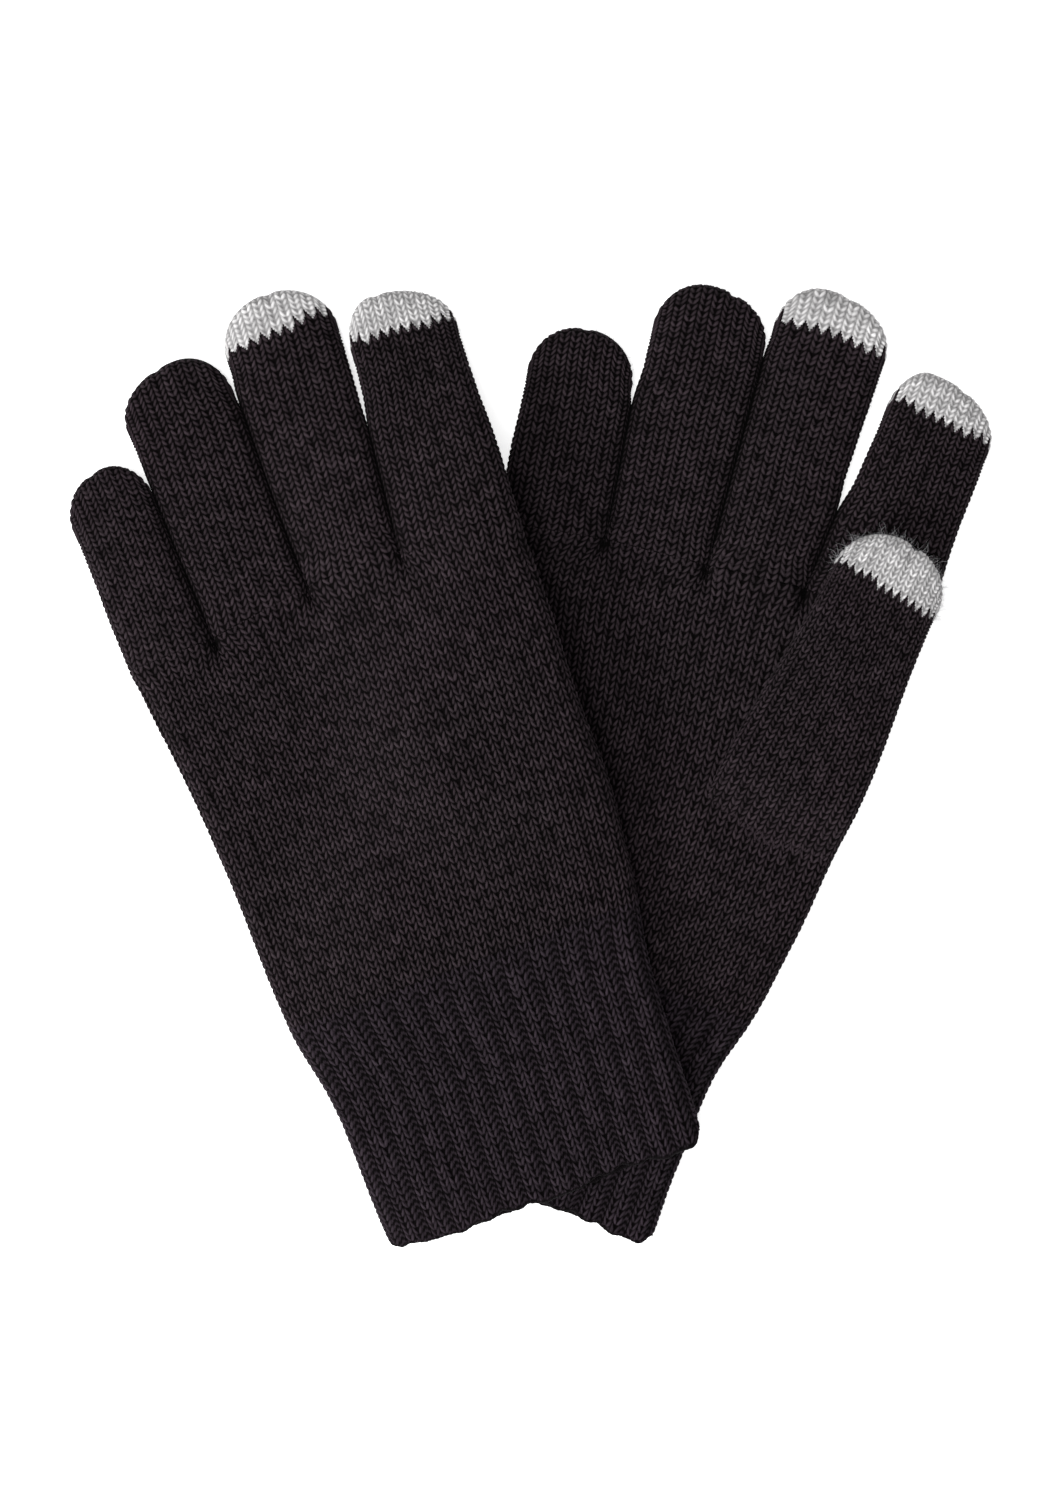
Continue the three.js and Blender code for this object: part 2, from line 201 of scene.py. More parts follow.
# A glove: the joint that places it with the same point and lean in the glove's own frame, its two
# outlines, the places and wales of its crotches, how far up the fingers beside each crotch touch, and
# the fingers whose bases don't move.
GLOVES = {
    "right": {
        "anchor": ("right_thumb_fold", (31.6, 121), 3.7),
        "little_side": [(0, -43), (36, -42), (50, -43), (66, -47.5), (96, -49.5), (123, -51),
                        (145, -56.5), (160, -63)],
        "thumb_side": [(0, 41.6), (36, 40.2), (50, 41.4), (66, 46), (96, 48.8), (123, 49.6),
                       (145, 50.2)],
        "crotches": [(-36.1, 165.9), (-8.7, 169.3), (17.3, 173)],
        "crotch_wales": (0, 10, 20, 29, 40),
        "touching": (36, 54, 21),
        "fingers": {
            "little": finger_shape((-50.2, 162.4), -10.6, 54, (28.2, 27.1), 22, pinch=-0.05),
            "ring": finger_shape((-22.4, 167.6), -7.9, 71, (26.8, 29.2), 22, apex=-0.15, pinch=0.25,
                                 dent=0.7),
            "middle": finger_shape((4.3, 171.2), -4.3, 77, (25.8, 29.8), 22, cap=11.6, slant=0.9,
                                   apex=-0.25, pinch=0.1),
            "index": finger_shape((33.6, 171), 0.2, 66.4, (31.8, 28.2), 24, cap=11, slant=1.3,
                                  apex=-0.45, pinch=0.2),
        },
        "fixed_bases": ("little", "index"),
    },
    "left": {
        "anchor": ("left_ring_root_fold", (-17.8, 167), -0.8),
        "little_side": [(0, -42.8), (38, -43.2), (50, -45), (57, -47.4), (68, -48.4), (96, -48.8),
                        (124, -48.9), (153, -51)],
        "thumb_side": [(0, 42.2), (38, 44.6), (50, 45.4), (57, 47), (68, 49.6), (96, 51.8), (124, 52),
                       (153, 53.5)],
        "crotches": [(-31.4, 165), (-3.8, 169), (22.3, 169.4)],
        "crotch_wales": (0, 9, 19, 28, 40),
        "touching": (42, 50, 30),
        "fingers": {
            "little": finger_shape((-43, 165), -1.6, 51.8, (22.8, 22.4), 20, apex=0.15, pinch=-0.15),
            "ring": finger_shape((-17.8, 167), -0.6, 69.5, (27.2, 28.8), 22, apex=0.2, pinch=-0.15),
            "middle": finger_shape((9.3, 169.2), 3.1, 75.4, (26.2, 29.8), 22, cap=10.8, slant=-1.6),
            "index": finger_shape((38.6, 168.6), 4.6, 65.6, (31.4, 28), 24, cap=11.2, slant=0.3,
                                  apex=-0.35, pinch=-0.3),
        },
        "fixed_bases": (),
    },
}

rng = np.random.default_rng(7)


# ---------------------------------------------------------------- camera, floor and light

def make_camera():
    data = bpy.data.cameras.new("camera")
    data.sensor_width = SENSOR
    data.lens = SENSOR * CAMERA_HEIGHT / VIEW_HEIGHT
    camera = bpy.data.objects.new("camera", data)
    camera.location = (*VIEW_CENTRE, CAMERA_HEIGHT)
    bpy.context.scene.collection.objects.link(camera)
    bpy.context.scene.camera = camera


def make_floor():
    bpy.ops.mesh.primitive_plane_add(size=6, location=(0, 0, 0))
    floor = bpy.context.active_object
    floor.name = "floor"
    material = bpy.data.materials.new("floor")
    material.use_nodes = True
    shader = material.node_tree.nodes["Principled BSDF"]
    shader.inputs["Base Color"].default_value = (0.93, 0.93, 0.93, 1)
    shader.inputs["Roughness"].default_value = 0.9
    shader.inputs["Specular IOR Level"].default_value = 0.1
    shader.inputs["Emission Color"].default_value = (1, 1, 1, 1)
    shader.inputs["Emission Strength"].default_value = 0.7
    floor.data.materials.append(material)


def add_light(name, place, size, power):
    """A square lamp that faces the pair. Its place and size are in metres and its power is in watts."""
    data = bpy.data.lights.new(name, "AREA")
    data.shape = "SQUARE"
    data.size = size
    data.energy = power
    light = bpy.data.objects.new(name, data)
    light.location = place
    light.rotation_euler = (-Vector(place)).to_track_quat("-Z", "Y").to_euler()
    bpy.context.scene.collection.objects.link(light)


def make_light():
    world = bpy.data.worlds.new("studio")
    world.use_nodes = True
    world.node_tree.nodes["Background"].inputs["Color"].default_value = (1, 1, 1, 1)
    world.node_tree.nodes["Background"].inputs["Strength"].default_value = 0.45
    bpy.context.scene.world = world
    add_light("overhead", place=(-0.5, -0.2, 2.1), size=1.0, power=28)
    add_light("side", place=(-0.82, -0.5, 0.62), size=0.35, power=11)
    bpy.context.scene.view_settings.view_transform = "Standard"


# ---------------------------------------------------------------- materials

LEG_EDGE = (0.27, 0.5)  # from a leg's middle line, in courses, where the painted shade at its edge starts and is darkest
# how much painted shade the edges of the legs take off
LEG_EDGE_SHADE = 0.22
YARN_RANGE = (0.3, 0.86)  # the painted light at which the yarn takes its darkest painted shade and its lightest painted highlight
PATCH_SCALE = 42  # of the uneven dye
FIBRE_SCALE = 5200  # of the fibres in the yarn
FIBRE_STRETCH = (1, 0.35, 1)
FIBRE_BUMP = 0.00012  # metres
ROUGHNESS_SPREAD = 0.08
FIBRE_TONES = (0.6, 1.4)  # the darkest and lightest loose fibres, as shares of their colour


class Material:
    """A new material with its shader, and short ways to add nodes to it."""

    def __init__(self, name):
        self.material = bpy.data.materials.new(name)
        self.material.use_nodes = True
        self.tree = self.material.node_tree
        self.shader = self.tree.nodes["Principled BSDF"]

    def node(self, kind, **inputs):
        made = self.tree.nodes.new(kind)
        for key, value in inputs.items():
            made.inputs[key.replace("_", " ")].default_value = value
        return made

    def link(self, source, output, node, name):
        self.tree.links.new(source.outputs[output], node.inputs[name])

    def attribute(self, name):
        made = self.node("ShaderNodeAttribute")
        made.attribute_name = name
        return made

    def math(self, operation):
        made = self.node("ShaderNodeMath")
        made.operation = operation
        return made

    def mix(self, **colours):
        made = self.node("ShaderNodeMix")
        made.data_type = "RGBA"
        for key, colour in colours.items():
            made.inputs[key].default_value = (*colour, 1)
        return made


def knit_material(name, yarn, valley_shade, tint, roughness, sheen):
    """Yarn with painted shade in the valleys between stitches and painted light on the stitches, a tone
    that varies from stitch to stitch, and fibres.
    """
    knit = Material(name)
    place = knit.node("ShaderNodeTexCoord")

    # How far up the yarn a point is, as painted light, less the painted shade at the edges of the legs.
    wave = knit.math("PINGPONG")
    wave.inputs[1].default_value = 0.5
    knit.link(knit.attribute("leg"), "Fac", wave, 0)
    edge = knit.node("ShaderNodeMapRange", From_Min=LEG_EDGE[0], From_Max=LEG_EDGE[1], To_Min=0,
                     To_Max=LEG_EDGE_SHADE)
    knit.link(wave, "Value", edge, "Value")
    cut = knit.math("SUBTRACT")
    knit.link(knit.attribute("painted_light"), "Fac", cut, 0)
    knit.link(edge, "Result", cut, 1)
    ramp = knit.node("ShaderNodeMapRange", From_Min=YARN_RANGE[0], From_Max=YARN_RANGE[1])
    knit.link(cut, "Value", ramp, "Value")

    # The yarn's colour, with patches of the tint, painted shade in the valleys, and the tone of each
    # stitch.
    patches = knit.node("ShaderNodeTexNoise", Scale=PATCH_SCALE, Detail=3)
    knit.link(place, "Object", patches, "Vector")
    tinted = knit.mix(A=yarn, B=tint)
    knit.link(patches, "Fac", tinted, "Factor")
    shaded = knit.mix(A=valley_shade)
    knit.link(ramp, "Result", shaded, "Factor")
    knit.link(tinted, "Result", shaded, "B")
    varied = knit.node("ShaderNodeHueSaturation")
    knit.link(shaded, "Result", varied, "Color")
    knit.link(knit.attribute("tone"), "Fac", varied, "Value")
    knit.link(varied, "Color", knit.shader, "Base Color")

    # Fine fibres.
    stretch = knit.node("ShaderNodeMapping", Scale=FIBRE_STRETCH)
    knit.link(place, "Object", stretch, "Vector")
    fibres = knit.node("ShaderNodeTexNoise", Scale=FIBRE_SCALE, Detail=3)
    knit.link(stretch, "Vector", fibres, "Vector")
    bump = knit.node("ShaderNodeBump", Strength=0.5, Distance=FIBRE_BUMP)
    knit.link(fibres, "Fac", bump, "Height")
    knit.link(bump, "Normal", knit.shader, "Normal")
    rough = knit.node("ShaderNodeMapRange", To_Min=roughness - ROUGHNESS_SPREAD, To_Max=roughness)
    knit.link(fibres, "Fac", rough, "Value")
    knit.link(rough, "Result", knit.shader, "Roughness")
    knit.shader.inputs["Specular IOR Level"].default_value = 0.06
    knit.shader.inputs["Sheen Weight"].default_value = sheen
    knit.shader.inputs["Sheen Roughness"].default_value = 0.5
    return knit.material


def fibre_material(name, colour):
    """Single loose fibres, some lighter than others."""
    fibre = Material(name)
    place = fibre.node("ShaderNodeTexCoord")
    spread = fibre.node("ShaderNodeTexNoise", Scale=300)
    fibre.link(place, "Object", spread, "Vector")
    dark, light = ([tone * part for part in colour] for tone in FIBRE_TONES)
    mix = fibre.mix(A=dark, B=light)
    fibre.link(spread, "Fac", mix, "Factor")
    fibre.link(mix, "Result", fibre.shader, "Base Color")
    fibre.shader.inputs["Roughness"].default_value = 0.8
    fibre.shader.inputs["Specular IOR Level"].default_value = 0.1
    return fibre.material


# ---------------------------------------------------------------- shapes

def ease(share):
    share = np.clip(share, 0, 1)
    return share * share * (3 - 2 * share)


def lerp(a, b, share):
    return a + (b - a) * share


def look_up(table, position):
    """The table's value, with its corners smoothed."""
    at, value = zip(*table)
    steps = np.linspace(-EDGE_SMOOTHING, EDGE_SMOOTHING, EDGE_STEPS)
    return sum(np.interp(position + step, at, value) for step in steps) / len(steps)


def half_round(share, width, half, crown=CROWN):
    """A soft flattened tube's upper half: sideways place and height, at a share of the way over it."""
    arc = math.pi * half / 2
    along = share * (width - 2 * half + 2 * arc)
    left = np.clip(along, 0, arc) / half
    right = np.clip(along - (width - 2 * half) - arc, 0, arc) / half
    flat = np.clip(along - arc, 0, width - 2 * half)
    sideways = half * (1 - np.cos(left)) + flat + half * np.sin(right) - width / 2
    height = half * np.sin(left) - half * (1 - np.cos(right))
    return sideways, height * (1 - crown * np.clip(2 * sideways / width, -1, 1) ** 2)


def finger_point(finger, along, sideways):
    lean = math.radians(finger["lean"])
    u = finger["root"][0] + along * math.sin(lean) + sideways * math.cos(lean)
    v = finger["root"][1] + along * math.cos(lean) - sideways * math.sin(lean)
    return u, v


def placement(glove):
    """The glove's hem and tilt on the table, from the hinge that anchors it."""
    name, root, lean = GLOVES[glove]["anchor"]
    joint = next(j for j in frame["joints"] if j["name"] == name)
    tilt = -math.atan2(joint["axis"][1], joint["axis"][0]) - math.radians(lean)
    u, v = root
    x = joint["pos_m"][0] / MM - (u * math.cos(tilt) + v * math.sin(tilt))
    y = joint["pos_m"][1] / MM - (-u * math.sin(tilt) + v * math.cos(tilt))
    return x, y, tilt


PLACES = {glove: placement(glove) for glove in GLOVES}


def to_table(glove, u, v):
    x, y, tilt = PLACES[glove]
    return x + u * math.cos(tilt) + v * math.sin(tilt), y - u * math.sin(tilt) + v * math.cos(tilt)


def from_table(glove, x, y):
    x0, y0, tilt = PLACES[glove]
    x, y = x - x0, y - y0
    return x * math.cos(tilt) - y * math.sin(tilt), x * math.sin(tilt) + y * math.cos(tilt)


def carried_height(u, v):
    """How high the right glove under it holds the left glove."""
    right_u, right_v = from_table("right", *to_table("left", u, v))
    outside_edge = look_up(GLOVES["right"]["little_side"], right_v) - right_u

    def down(outside):
        return ease((outside - DROP[0]) / (DROP[1] - DROP[0]))

    return STACK_HEIGHT * (1 - down(outside_edge)) * (1 - down(-right_v))


def thumb_rise(u, v):
    """The extra height that the left glove has over its own thumb."""
    start = np.array(finger_point(THUMB, 0, 0))
    end = np.array(finger_point(THUMB, THUMB["length"] - THUMB["widths"][1] / 2, 0))
    line = end - start
    share = np.clip(((u - start[0]) * line[0] + (v - start[1]) * line[1]) / (line @ line), 0, 1)
    outside = np.hypot(u - start[0] - share * line[0], v - start[1] - share * line[1])
    return THUMB_RISE * (1 - ease((outside - THUMB["widths"][0] / 2) / THUMB_SPREAD))


def lift(glove, u, v, thumb=False):
    """What a place on a glove lies on: the table, the other glove, or its own thumb."""
    if glove == "right":
        return np.zeros_like(u)
    return carried_height(u, v) + (0 if thumb else thumb_rise(u, v))


def undulation(u, v, seed):
    """Gentle waves in cloth that has been worn and laid down."""
    waves = np.random.default_rng(seed)
    total = np.zeros_like(u)
    for _ in range(WAVES):
        turn, length, phase = waves.uniform(0, 6.3), waves.uniform(*WAVE_LENGTHS), waves.uniform(0, 6.3)
        total += np.sin((u * math.cos(turn) + v * math.sin(turn)) * 2 * math.pi / length + phase)
    return total * WAVE_HEIGHT


# ---------------------------------------------------------------- stitches

def stockinette(wale, course, wale_width, seed):
    """Height (about 0 to 1) and tone of plain knitting: a stitch is two legs that spread from a point."""
    chances = np.random.default_rng(seed).normal(0, 1, (3, *CHANCE_TABLE))
    column = np.floor(wale).astype(int)
    x = wale - column - 0.5
    side = np.abs(x)
    nearest = np.round(course - LEG_SLOPE * (side - LEG_START)).astype(int)
    height = np.zeros_like(wale)
    tone = np.ones_like(wale)
    for step in (-1, 0, 1):
        stitch = nearest + step
        pick = (column % CHANCE_TABLE[0], (stitch + COURSE_SHIFT) % CHANCE_TABLE[1])
        strays = [stray * table[pick] for stray, table in zip(LEG_UNEVEN, chances)]
        climbed = course - stitch + strays[0]
        share = climbed / LEG_LENGTH
        live = (share > 0) & (share < 1)
        share = np.clip(share, 0, 1)
        middle = LEG_START + climbed / LEG_SLOPE + strays[1]
        offset = (side - middle) * wale_width * LEG_TILT
        radius = LEG_RADIUS * (LEG_THIN + (1 - LEG_THIN) * np.sin(math.pi * share))
        roundness = np.sqrt(np.clip(1 - (offset / radius) ** 2, 0, 1))
        leg = roundness * np.sqrt(np.sin(math.pi * share)) - LEG_DROOP * share + strays[2]
        leg = np.where(live, leg, 0)
        tone = np.where(leg > height, 1 + TONE_UNEVEN * chances[2][pick], tone)
        height = np.maximum(height, leg)
    groove = ease((side - WALE_EDGE[0]) / (WALE_EDGE[1] - WALE_EDGE[0]))
    return height * (1 - WALE_GROOVE * groove), tone


def leg_place(wale, course):
    """A whole number on the middle of each leg, and a half between two legs of a wale."""
    side = np.abs(wale - np.floor(wale) - 0.5)
    return course - LEG_SLOPE * (side - LEG_START) + LEG_SHIFT


def purl(wale, course):
    """Height of the reverse of plain knitting: a row of low arches."""
    bend = PURL_BEND * np.cos(2 * math.pi * wale)
    return PURL_HEIGHT[0] + PURL_HEIGHT[1] * (0.5 + 0.5 * np.cos(2 * math.pi * (course + bend)))


# ---------------------------------------------------------------- meshes

TINY = 1e-9  # keeps a normal of no length from a division by zero


class Cloth:
    """A grid of fabric. Its rows run from the cuff to the tip and its columns round the glove."""

    # The second field is the painted light and shade of the yarn's colour: dark in the valleys, light on
    # the stitches.
    def __init__(self, points, painted_light, tone, leg):
        self.points = points
        self.painted_light = painted_light
        self.tone = tone
        self.leg = leg

    def normals(self):
        along = np.gradient(self.points, axis=0)
        across = (np.roll(self.points, -1, 1) - np.roll(self.points, 1, 1)) / 2
        normal = np.cross(across, along)
        size = np.linalg.norm(normal, axis=2, keepdims=True)
        return normal / np.maximum(size, TINY)

    def displaced(self, amount):
        return self.points + self.normals() * amount[..., None]


def grid_faces(faces, columns):
    """The corners of the marked faces of a grid that closes round on itself, and the points they use."""
    row, column = np.nonzero(faces)
    after = (column + 1) % columns
    corners = np.stack([row * columns + column, row * columns + after,
                        (row + 1) * columns + after, (row + 1) * columns + column], 1)
    used, corners = np.unique(corners, return_inverse=True)
    return used, corners.reshape(-1, 4)


def make_piece(name, cloth, vertices, faces, material, nodes):
    """The part of a cloth whose faces are marked, as an object that stands for its CAD nodes."""
    used, corners = grid_faces(faces, vertices.shape[1])
    mesh = bpy.data.meshes.new(name)
    mesh.vertices.add(len(used))
    mesh.vertices.foreach_set("co", (vertices.reshape(-1, 3)[used] * MM).astype(np.float32).ravel())
    mesh.loops.add(corners.size)
    mesh.loops.foreach_set("vertex_index", corners.astype(np.int32).ravel())
    mesh.polygons.add(len(corners))
    mesh.polygons.foreach_set("loop_start", np.arange(0, corners.size, 4, dtype=np.int32))
    # The first attribute carries the painted light and shade that colours the yarn.
    for key, values in (("painted_light", cloth.painted_light), ("tone", cloth.tone), ("leg", cloth.leg)):
        attribute = mesh.attributes.new(key, "FLOAT", "POINT")
        attribute.data.foreach_set("value", values.reshape(-1)[used].astype(np.float32))
    mesh.update(calc_edges=True)
    mesh.shade_smooth()
    mesh.materials.append(material)
    piece = bpy.data.objects.new(name, mesh)
    bpy.context.scene.collection.objects.link(piece)
    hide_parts(*nodes)
    return piece


def make_fuzz(name, cloth, vertices, faces, material, share, reach):
    """Loose fibres that stand off a piece: thin bent strips rooted on a share of its marked vertices."""
    row, column = np.nonzero(faces)
    pick = rng.random(len(row)) < share
    row, column = row[pick], column[pick]
    normal = cloth.normals()[row, column]
    sway = rng.normal(0, 1, (len(row), 3))
    sway /= np.linalg.norm(sway, axis=1, keepdims=True)
    length = reach * rng.uniform(*FIBRE_LENGTHS, (len(row), 1)) ** FIBRE_POWER
    root = vertices[row, column] - FIBRE_ROOT * normal
    heading = normal * FIBRE_RISE + sway * FIBRE_SWAY
    curl = np.cross(heading, rng.normal(0, 1, heading.shape))
    curl *= FIBRE_CURL / np.linalg.norm(curl, axis=1, keepdims=True)
    turns = rng.uniform(*FIBRE_TURNS, (len(row), 1))
    across = np.cross(heading, rng.normal(0, 1, heading.shape))
    across *= FIBRE_WIDTH / np.linalg.norm(across, axis=1, keepdims=True)
    strips = []
    for step in range(FIBRE_STEPS + 1):
        part = step / FIBRE_STEPS
        curled = curl * np.sin(turns * part) + np.roll(curl, 1, 1) * (1 - np.cos(turns * part))
        middle = root + length * (heading * part + curled)
        middle[:, 2] = np.maximum(middle[:, 2], FIBRE_FLOOR)
        side = across * (1 - FIBRE_TAPER * part)
        strips += [middle - side, middle + side]
    points = np.stack(strips, 1).reshape(-1, 3) * MM
    start = (np.arange(len(row)) * 2 * (FIBRE_STEPS + 1))[:, None, None]
    ladder = np.array([[2 * k, 2 * k + 1, 2 * k + 3, 2 * k + 2] for k in range(FIBRE_STEPS)])
    mesh = bpy.data.meshes.new(name)
    mesh.from_pydata(points.tolist(), [], (start + ladder).reshape(-1, 4).tolist())
    mesh.materials.append(material)
    fuzz = bpy.data.objects.new(name, mesh)
    bpy.context.scene.collection.objects.link(fuzz)
    return fuzz


def place_cloth(glove, u, v, w, thumb=False):
    x, y = to_table(glove, u, v)
    return np.stack([x, y, w + lift(glove, u, v, thumb)], -1)


# ---------------------------------------------------------------- the hand: cuff and palm

PURL_MIDDLE = 2.5  # the middle of a rib's purl wale, in wales
PURL_FLAT = 0.1  # wales each way from there, where the ribbing is level
RIB_LEFT = 0.35  # how much of the ribbing is left where its purl wales end
LIP_COURSE = -0.01  # just under the first course
HEM_WAVES = ((0.7, 0.45), (0.35, 1.7))  # their heights, and radians for each wale
INSIDE_KNIT = (0.6, 0.2)  # inside the mouth, a share of the purl rows' height, and what is added
INSIDE_RIB = -0.4
LIGHTEST = 1.2  # the most that the painted light on the yarn can be
FRONT_POWER = 3  # how late the palm's courses bend to the line of the finger roots


def round_wales(half_wales, per_wale):
    """The wales round a tube: their places, the same folded onto the upper side, and 1 on the upper side
    or -1 on the under side."""
    wale = np.arange(2 * half_wales * per_wale) / per_wale
    upper = wale <= half_wales
    return wale, np.where(upper, wale, 2 * half_wales - wale), np.where(upper, 1, -1)


def rib_arc(wale):
    """Where a wale of the ribbing lies across the glove, as a share. The purl wales draw in."""
    widths = np.array([RIB_SHARES[k % RIB] for k in range(HALF_WALES)])
    edges = np.concatenate([[0], np.cumsum(widths)]) / widths.sum()
    return np.interp(wale, np.arange(HALF_WALES + 1), edges)


def rib_height(wale):
    """The rise and fall of the ribbing, lowest at the middle of each purl wale."""
    from_purl = np.abs((wale - PURL_MIDDLE + RIB / 2) % RIB - RIB / 2)
    return lerp(*RIB_RISE, ease(from_purl - PURL_FLAT))


def ribbing(v):
    """How much of the ribbing there is at a length: 1 on the cuff and 0 on the palm."""
    return 1 - ease((v - RIB_FADE[0]) / (RIB_FADE[1] - RIB_FADE[0]))


def front_length(glove):
    """How far along the hand its crotches are, on average."""
    crotches = GLOVES[glove]["crotches"]
    return sum(place[1] for place in crotches) / len(crotches)


def front_line(glove, wale, half):
    """The palm's last row, where the fingers begin: u, v and height of the upper half, and u and v
    where the row would lie if its stitches were evenly spread."""
    spec = GLOVES[glove]
    row = np.zeros((5, *wale.shape))
    for i, finger in enumerate(spec["fingers"].values()):
        first, last = spec["crotch_wales"][i], spec["crotch_wales"][i + 1]
        here = (wale >= first) & (wale <= last)
        share, width = (wale[here] - first) / (last - first), finger["widths"][0]
        sideways, height = half_round(share, width, half, FINGER_CROWN)
        round_place = rooted_point(glove, i, finger, np.zeros_like(sideways), sideways)
        even_place = rooted_point(glove, i, finger, np.zeros_like(sideways), (share - 0.5) * width)
        row[:, here] = [*round_place, height, *even_place]
    return row


def rooted_point(glove, index, finger, along, sideways):
    """A point on a finger whose root is drawn to the crotches on its two sides."""
    u, v = finger_point(finger, along, sideways)
    crotches = [None, *GLOVES[glove]["crotches"], None]
    share = np.clip(sideways / finger["widths"][0] + 0.5, 0, 1)
    fade = 1 - ease(along / ROOT_FADE)
    for side, crotch, weight in ((-1, crotches[index], 1 - share), (1, crotches[index + 1], share)):
        if crotch:
            edge = finger_point(finger, 0, side * finger["widths"][0] / 2)
            u = u + (crotch[0] - edge[0]) * weight * fade
            v = v + (crotch[1] - edge[1]) * weight * fade
    return u, v


def hand_surface(glove, wale, v, half):
    """The upper half of the hand at wales and lengths (both grids): u, v and height over the middle."""
    spec = GLOVES[glove]
    front_v = front_length(glove)
    share = lerp(wale / HALF_WALES, rib_arc(wale), ribbing(v))
    left, right = look_up(spec["little_side"], v), look_up(spec["thumb_side"], v)
    sideways, height = half_round(share, right - left, half)
    u = (left + right) / 2 + sideways
    front_u, front_along, front_height, even_u, even_along = front_line(glove, wale, half)
    bend = np.clip((v - CUFF_LENGTH) / (front_v - CUFF_LENGTH), 0, 1) ** FRONT_POWER
    sink = ease((v - front_v + FRONT_BLEND) / FRONT_BLEND)
    u = u + (even_u - u) * bend + (front_u - even_u) * sink
    v = v + (even_along - front_v) * bend + (front_along - even_along) * sink
    return u, v, lerp(height, front_height, sink)


def hand_rows(front_v):
    """The hand's rows, from deep in the mouth, round the lip and up the outside to the fingers: each
    row's course and length, how far it is drawn in and set back, and how many rows aren't outside."""
    inner = -np.arange(MOUTH_COURSES * 2, 0, -1) / 2
    inner_v = -inner * MOUTH_DEPTH / MOUTH_COURSES
    drawn_in = 2 * LIP_RADIUS + (HALF - 2 * LIP_RADIUS - MOUTH_GAP) * ease(inner_v / MOUTH_DEPTH)
    turn = np.pi * (1 - np.linspace(0, 1, LIP_ROWS + 2)[1:-1])
    outer = np.arange((CUFF_COURSES + PALM_COURSES) * FINE[1] + 1) / FINE[1]
    cuff_course = CUFF_LENGTH / CUFF_COURSES
    palm_course = (front_v - CUFF_LENGTH) / PALM_COURSES
    outer_v = np.where(outer < CUFF_COURSES, outer * cuff_course,
                       CUFF_LENGTH + (outer - CUFF_COURSES) * palm_course)
    lip, flat = np.zeros_like(turn), np.zeros_like(outer)
    course = np.concatenate([inner, lip + LIP_COURSE, outer])
    length = np.concatenate([inner_v, lip, outer_v])
    inset = np.concatenate([drawn_in, LIP_RADIUS * (1 - np.cos(turn)), flat])
    back = np.concatenate([np.zeros_like(inner), LIP_RADIUS * np.sin(turn), flat])
    return course, length, inset, back, len(inner) + len(lip)


def hem_shape(folded, sign):
    """How far the hem is drawn back at each wale."""
    (slow, slow_turn), (quick, quick_turn) = HEM_WAVES
    from_fold = np.minimum(folded, HALF_WALES - folded)
    return (-HEM_RIB * rib_height(folded) + slow * np.sin(folded * slow_turn + sign)
            + quick * np.sin(folded * quick_turn + 2 * sign)
            + CORNER * (1 - ease(from_fold / CORNER_WALES)))


def hand_points(glove, folded, sign, length, inset, back):
    """u, v and height of the hand's skin, on a grid of its rows and wales."""
    spec = GLOVES[glove]
    shape = (len(length), len(folded))
    length, inset, back = (np.broadcast_to(row[:, None], shape) for row in (length, inset, back))
    u, v, height = hand_surface(glove, np.broadcast_to(folded, shape), length, HALF)
    middle = (look_up(spec["little_side"], length) + look_up(spec["thumb_side"], length)) / 2
    u = middle + (u - middle) * (1 - inset / MOUTH_HALF_WIDTH)
    v = v + hem_shape(folded, sign) * (1 - ease(length / HEM_FADE)) - back
    return u, v, height * (1 - inset / HALF)


def hand_knit(wale, folded, course, length, inside, seed):
    """The stitches' height and tone on the hand's grid, and the rise and fall of its ribbing."""
    knit, tone = stockinette(wale, course, WALE_WIDTH, seed)
    ribbed = ribbing(length)
    is_purl = (np.floor(folded).astype(int) % RIB == int(PURL_MIDDLE)) & (ribbed > RIB_LEFT)
    reverse = purl(wale, course)
    knit = np.where(is_purl, reverse, knit)
    knit = np.where(inside, INSIDE_KNIT[0] * reverse + INSIDE_KNIT[1], knit)
    return knit, tone, rib_height(folded) * ribbed * np.where(inside, INSIDE_RIB, 1)


